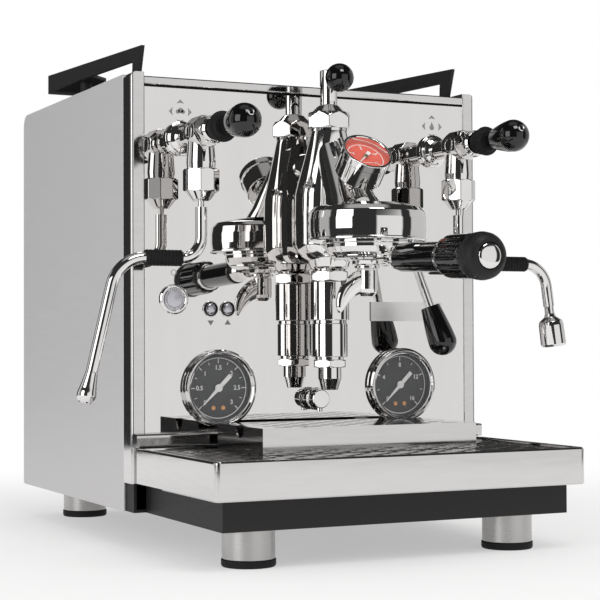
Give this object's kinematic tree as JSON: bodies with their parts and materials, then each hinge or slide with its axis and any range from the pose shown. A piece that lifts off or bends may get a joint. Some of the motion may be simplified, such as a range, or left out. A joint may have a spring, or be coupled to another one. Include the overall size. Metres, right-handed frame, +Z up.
{
  "type": "espresso machine",
  "caption": "Box-shaped two-boiler espresso machine with lever group, portafilter, steam and hot water wands on joystick valves, pressure gauges, lift-out tank and slide-out drip tray.",
  "frame": {"origin": "on the worktop under the middle of the overall box", "axes": "+Z up, -Y towards the person using it, +X to their right"},
  "size_m": [0.4711, 0.6197, 0.4425],
  "materials": {
    "black_coating": "fine matte powder coat",
    "satin_panel": "satin, pale",
    "polished_steel": "polished",
    "mirror_steel": "mirror polish",
    "brushed_steel": "brushed",
    "tank_plastic": "clear plastic",
    "rubber": "matte",
    "satin_plate": "fine satin",
    "black_dial": "matte, printed scale",
    "orange_dial": "matte, printed scale",
    "gauge_glass": "clear",
    "white_paint": "matte",
    "button_steel": "spun face",
    "chrome": "bright chrome",
    "gloss_black": "high gloss",
    "boiler_steel": "dull",
    "grey_paint": "satin",
    "copper": "dull copper",
    "black_plastic": "matte"
  },
  "bodies": {
    "root": {"chassis": "black_coating", "side_panel_left": "satin_panel", "side_panel_right": "satin_panel", "front_frame": "polished_steel", "front_panel": "mirror_steel", "rear_panel": "brushed_steel", "top_tray": "brushed_steel", "cup_rails": "black_coating", "foot_sleeves": "brushed_steel", "foot_pads": "rubber", "badge_plate": "satin_plate", "gauge_cases": "polished_steel", "gauge_dials": "black_dial", "group_gauge_dial": "orange_dial", "gauge_glasses": "gauge_glass", "button_bezels": "polished_steel", "group_body": "chrome", "group_bell": "chrome", "group_gasket": "rubber", "shower_screen": "brushed_steel", "mushroom_cap": "chrome", "infusion_chamber": "chrome", "drain_spout": "chrome", "steam_valve": "chrome", "water_valve": "chrome", "boilers": "boiler_steel", "pump_unit": "grey_paint", "pipework": "copper", "electrics": "black_plastic"},
    "flow_control": {"flow_spindle": "chrome", "flow_knob": "gloss_black"},
    "brew_lever": {"brew_lever": "chrome", "lever_handle": "gloss_black"},
    "portafilter": {"portafilter_body": "chrome", "filter_basket": "polished_steel", "portafilter_spout": "chrome", "portafilter_handle": "gloss_black"},
    "steam_tilt": {"steam_pivot": "chrome"},
    "steam_stick": {"steam_knob": "gloss_black", "steam_bellows": "rubber"},
    "water_tilt": {"water_pivot": "chrome"},
    "water_stick": {"water_knob": "gloss_black", "water_bellows": "rubber"},
    "steam_arm": {"steam_wand": "polished_steel", "steam_grip": "rubber", "steam_nozzle": "polished_steel"},
    "water_arm": {"water_wand": "polished_steel", "water_grip": "rubber", "water_nozzle": "polished_steel"},
    "tray": {"drip_tray": "polished_steel"},
    "grille": {"drip_grille": "brushed_steel"},
    "riser": {"cup_riser": "polished_steel"},
    "tank": {"water_tank": "tank_plastic"},
    "lid": {"tank_lid": "brushed_steel"},
    "power_key": {"power_button": "button_steel"},
    "down_key": {"down_button": "button_steel"},
    "up_key": {"up_button": "button_steel"},
    "boiler_pointer": {"boiler_needle": "white_paint"},
    "pump_pointer": {"pump_needle": "white_paint"},
    "group_pointer": {"group_needle": "white_paint"}
  },
  "joints": [
    {"name": "flow_turn", "type": "hinge", "parent": "root", "child": "flow_control", "pos_m": [0, -0.04725, 0.4], "axis": [0, 0, 1], "range_deg": [-140, 140]},
    {"name": "lever_lift", "type": "hinge", "parent": "root", "child": "brew_lever", "pos_m": [0.076, -0.04625, 0.27], "axis": [-1, 0, 0], "range_deg": [0, 75]},
    {"name": "portafilter_twist", "type": "hinge", "parent": "root", "child": "portafilter", "pos_m": [0, -0.11725, 0.255], "axis": [0, 0, 1], "range_deg": [-50, 0]},
    {"name": "steam_up_down", "type": "hinge", "parent": "root", "child": "steam_tilt", "pos_m": [-0.125, -0.08625, 0.35], "axis": [1, 0, 0], "range_deg": [-8, 8], "stiffness_Nm_per_rad": 4},
    {"name": "steam_left_right", "type": "hinge", "parent": "steam_tilt", "child": "steam_stick", "pos_m": [-0.125, -0.08625, 0.35], "axis": [0, 0, 1], "range_deg": [-8, 8], "stiffness_Nm_per_rad": 4},
    {"name": "water_up_down", "type": "hinge", "parent": "root", "child": "water_tilt", "pos_m": [0.125, -0.08625, 0.35], "axis": [1, 0, 0], "range_deg": [-8, 8], "stiffness_Nm_per_rad": 4},
    {"name": "water_left_right", "type": "hinge", "parent": "water_tilt", "child": "water_stick", "pos_m": [0.125, -0.08625, 0.35], "axis": [0, 0, 1], "range_deg": [-8, 8], "stiffness_Nm_per_rad": 4},
    {"name": "steam_swivel", "type": "hinge", "parent": "root", "child": "steam_arm", "pos_m": [-0.125, -0.05825, 0.304], "axis": [0, 0, 1], "range_deg": [-25, 60]},
    {"name": "water_swivel", "type": "hinge", "parent": "root", "child": "water_arm", "pos_m": [0.125, -0.05825, 0.304], "axis": [0, 0, 1], "range_deg": [-60, 25]},
    {"name": "tray_pull", "type": "slide", "parent": "root", "child": "tray", "axis": [0, -1, 0], "range_m": [0, 0.1]},
    {"name": "grille_lift", "type": "slide", "parent": "tray", "child": "grille", "axis": [0, 0, 1], "range_m": [0, 0.025]},
    {"name": "riser_lift", "type": "slide", "parent": "grille", "child": "riser", "axis": [0, 0, 1], "range_m": [0, 0.02]},
    {"name": "tank_lift", "type": "slide", "parent": "root", "child": "tank", "axis": [0, 0, 1], "range_m": [0, 0.12]},
    {"name": "lid_lift", "type": "slide", "parent": "tank", "child": "lid", "axis": [0, 0, 1], "range_m": [0, 0.08]},
    {"name": "power_press", "type": "slide", "parent": "root", "child": "power_key", "axis": [0, 1, 0], "range_m": [0, 0.002], "stiffness_N_per_m": 300},
    {"name": "down_press", "type": "slide", "parent": "root", "child": "down_key", "axis": [0, 1, 0], "range_m": [0, 0.0015], "stiffness_N_per_m": 300},
    {"name": "up_press", "type": "slide", "parent": "root", "child": "up_key", "axis": [0, 1, 0], "range_m": [0, 0.0015], "stiffness_N_per_m": 300},
    {"name": "boiler_reading", "type": "hinge", "parent": "root", "child": "boiler_pointer", "pos_m": [-0.09, -0.01275, 0.1352], "axis": [0, 1, 0], "range_deg": [0, 270], "stiffness_Nm_per_rad": 0.0004},
    {"name": "pump_reading", "type": "hinge", "parent": "root", "child": "pump_pointer", "pos_m": [0.09, -0.01275, 0.1352], "axis": [0, 1, 0], "range_deg": [0, 270], "stiffness_Nm_per_rad": 0.0004},
    {"name": "group_reading", "type": "hinge", "parent": "root", "child": "group_pointer", "pos_m": [0, -0.11995, 0.3343], "axis": [0, 0.7071, -0.7071], "range_deg": [0, 270], "stiffness_Nm_per_rad": 0.0004}
  ]
}
